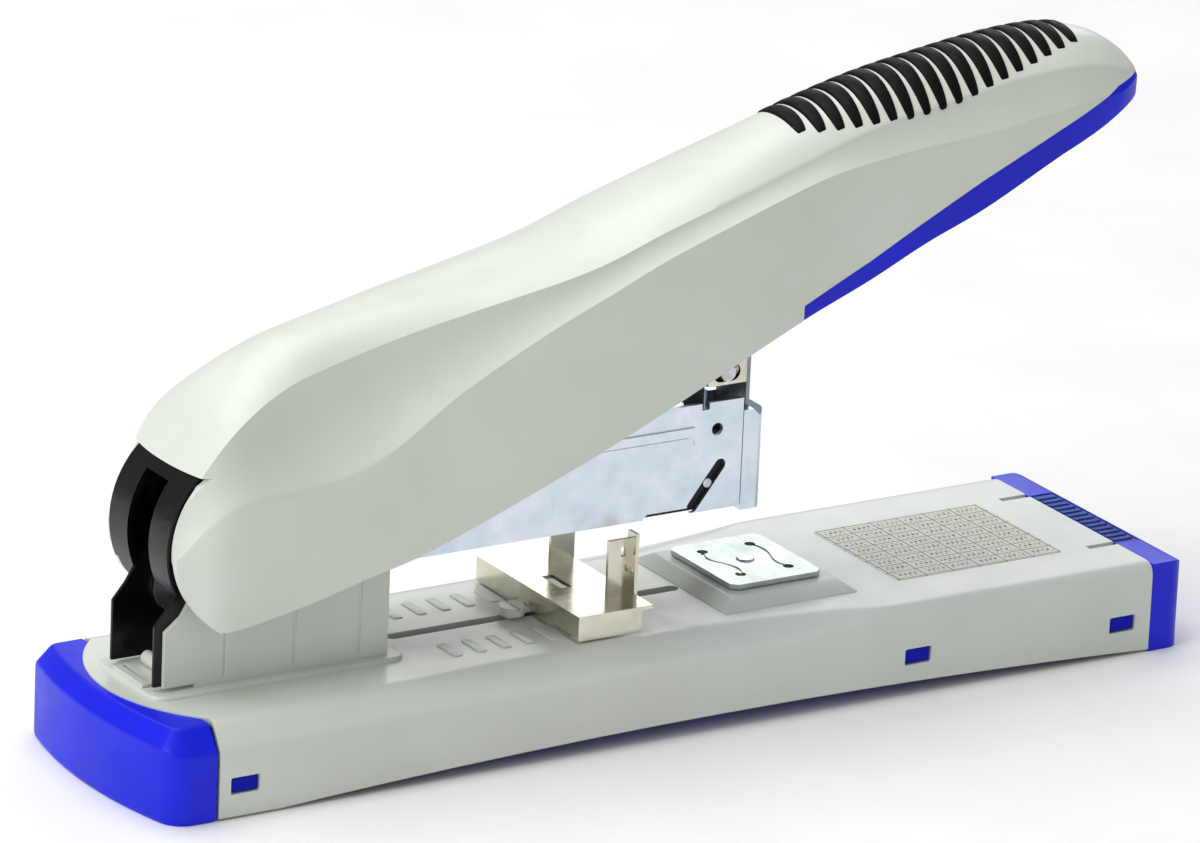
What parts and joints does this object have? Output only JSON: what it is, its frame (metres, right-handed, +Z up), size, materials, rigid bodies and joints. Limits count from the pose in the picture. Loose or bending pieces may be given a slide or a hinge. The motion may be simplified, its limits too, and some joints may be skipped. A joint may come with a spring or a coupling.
{
  "type": "heavy-duty stapler",
  "caption": "Long-arm lever stapler with an open pressing handle, side-walled magazine, turning anvil and sliding paper stop on a flat base.",
  "frame": {"origin": "bottom centre of the overall bounding box, on the table under the middle of the base", "axes": "+X runs from the hinge end to the paper end, +Z is up, and the vertical centre plane is y = 0"},
  "size_m": [0.28, 0.069, 0.1488],
  "materials": {
    "off_white_paint": "semi-gloss",
    "off_white_plastic": "satin",
    "blue_plastic": "satin",
    "navy_plastic": "matte",
    "black_rubber": "matte",
    "zinc_steel": "zinc plated",
    "nickel_steel": "nickel plated",
    "bright_steel": "polished",
    "spring_steel": "drawn wire",
    "staple_wire": "galvanised wire",
    "black_steel": "black lacquer",
    "black_plastic": "matte",
    "white_plastic": "gloss",
    "label_film": "matte film"
  },
  "bodies": {
    "base": {"base_shell": "off_white_paint", "base_tray": "blue_plastic", "hinge_end_bumper": "blue_plastic", "paper_end_cap": "blue_plastic", "cap_grip_strip": "navy_plastic", "rubber_feet": "black_rubber", "tray_screws": "zinc_steel", "anvil_pad": "off_white_paint", "rating_label": "label_film", "hinge_bracket": "off_white_paint", "inner_hinge_frame": "black_steel", "bracket_rivets": "zinc_steel", "arm_hinge_pin": "bright_steel", "handle_hinge_pin": "bright_steel", "bracket_tab": "off_white_paint", "lift_spring": "spring_steel"},
    "arm": {"magazine_cover": "zinc_steel", "nose_plate": "zinc_steel", "inner_channel": "black_steel", "staple_rail": "zinc_steel", "top_guard": "nickel_steel", "rail_end_block": "black_plastic", "guide_rod": "bright_steel", "pusher_spring": "spring_steel", "magazine_rivets": "zinc_steel", "nose_slot_pin": "bright_steel", "staple_strip": "staple_wire"},
    "pusher": {"staple_pusher": "black_plastic"},
    "driver": {"driver_blade": "spring_steel", "driver_carrier": "nickel_steel", "carrier_rivets": "bright_steel"},
    "handle": {"handle_shell": "off_white_plastic", "lever_frame": "black_steel", "under_grip": "blue_plastic", "grip_ribs": "black_rubber", "drive_tongue": "black_steel", "drive_pin": "bright_steel", "handle_bushings": "nickel_steel", "handle_screws": "zinc_steel", "torsion_spring": "spring_steel"},
    "anvil": {"anvil_plate": "bright_steel", "anvil_pivot": "bright_steel"},
    "paper_stop": {"paper_stop_plate": "nickel_steel", "paper_stop_lock": "white_plastic"}
  },
  "joints": [
    {"name": "handle_hinge", "type": "hinge", "parent": "base", "child": "handle", "pos_m": [-0.104, 0, 0.057], "axis": [0, 1, 0], "range_deg": [0, 13.1], "stiffness_Nm_per_rad": 0.9, "springref_deg": -57.3, "deforming": ["torsion_spring"]},
    {"name": "arm_hinge", "type": "hinge", "parent": "base", "child": "arm", "pos_m": [-0.112, 0, 0.04], "axis": [0, 1, 0], "range_deg": [0, 6.3], "stiffness_Nm_per_rad": 0.5, "springref_deg": -28.65, "deforming": ["lift_spring"]},
    {"name": "driver_slide", "type": "slide", "parent": "arm", "child": "driver", "axis": [0, 0, -1], "range_m": [0, 0.0145]},
    {"name": "pusher_slide", "type": "slide", "parent": "arm", "child": "pusher", "axis": [1, 0, 0], "range_m": [-0.045, 0], "stiffness_N_per_m": 60, "springref_m": 0.05, "deforming": ["pusher_spring"]},
    {"name": "anvil_turn", "type": "hinge", "parent": "base", "child": "anvil", "pos_m": [0.0358, 0, 0.0252], "axis": [0, 0, 1], "range_deg": [0, 180]},
    {"name": "paper_stop_slide", "type": "slide", "parent": "base", "child": "paper_stop", "axis": [1, 0, 0], "range_m": [-0.031, 0.018]}
  ],
  "couplings": [
    {"joint": "arm_hinge", "follows": "handle_hinge", "ratio": 0.4809},
    {"joint": "driver_slide", "follows": "handle_hinge", "m_per_rad": 0.0634}
  ]
}
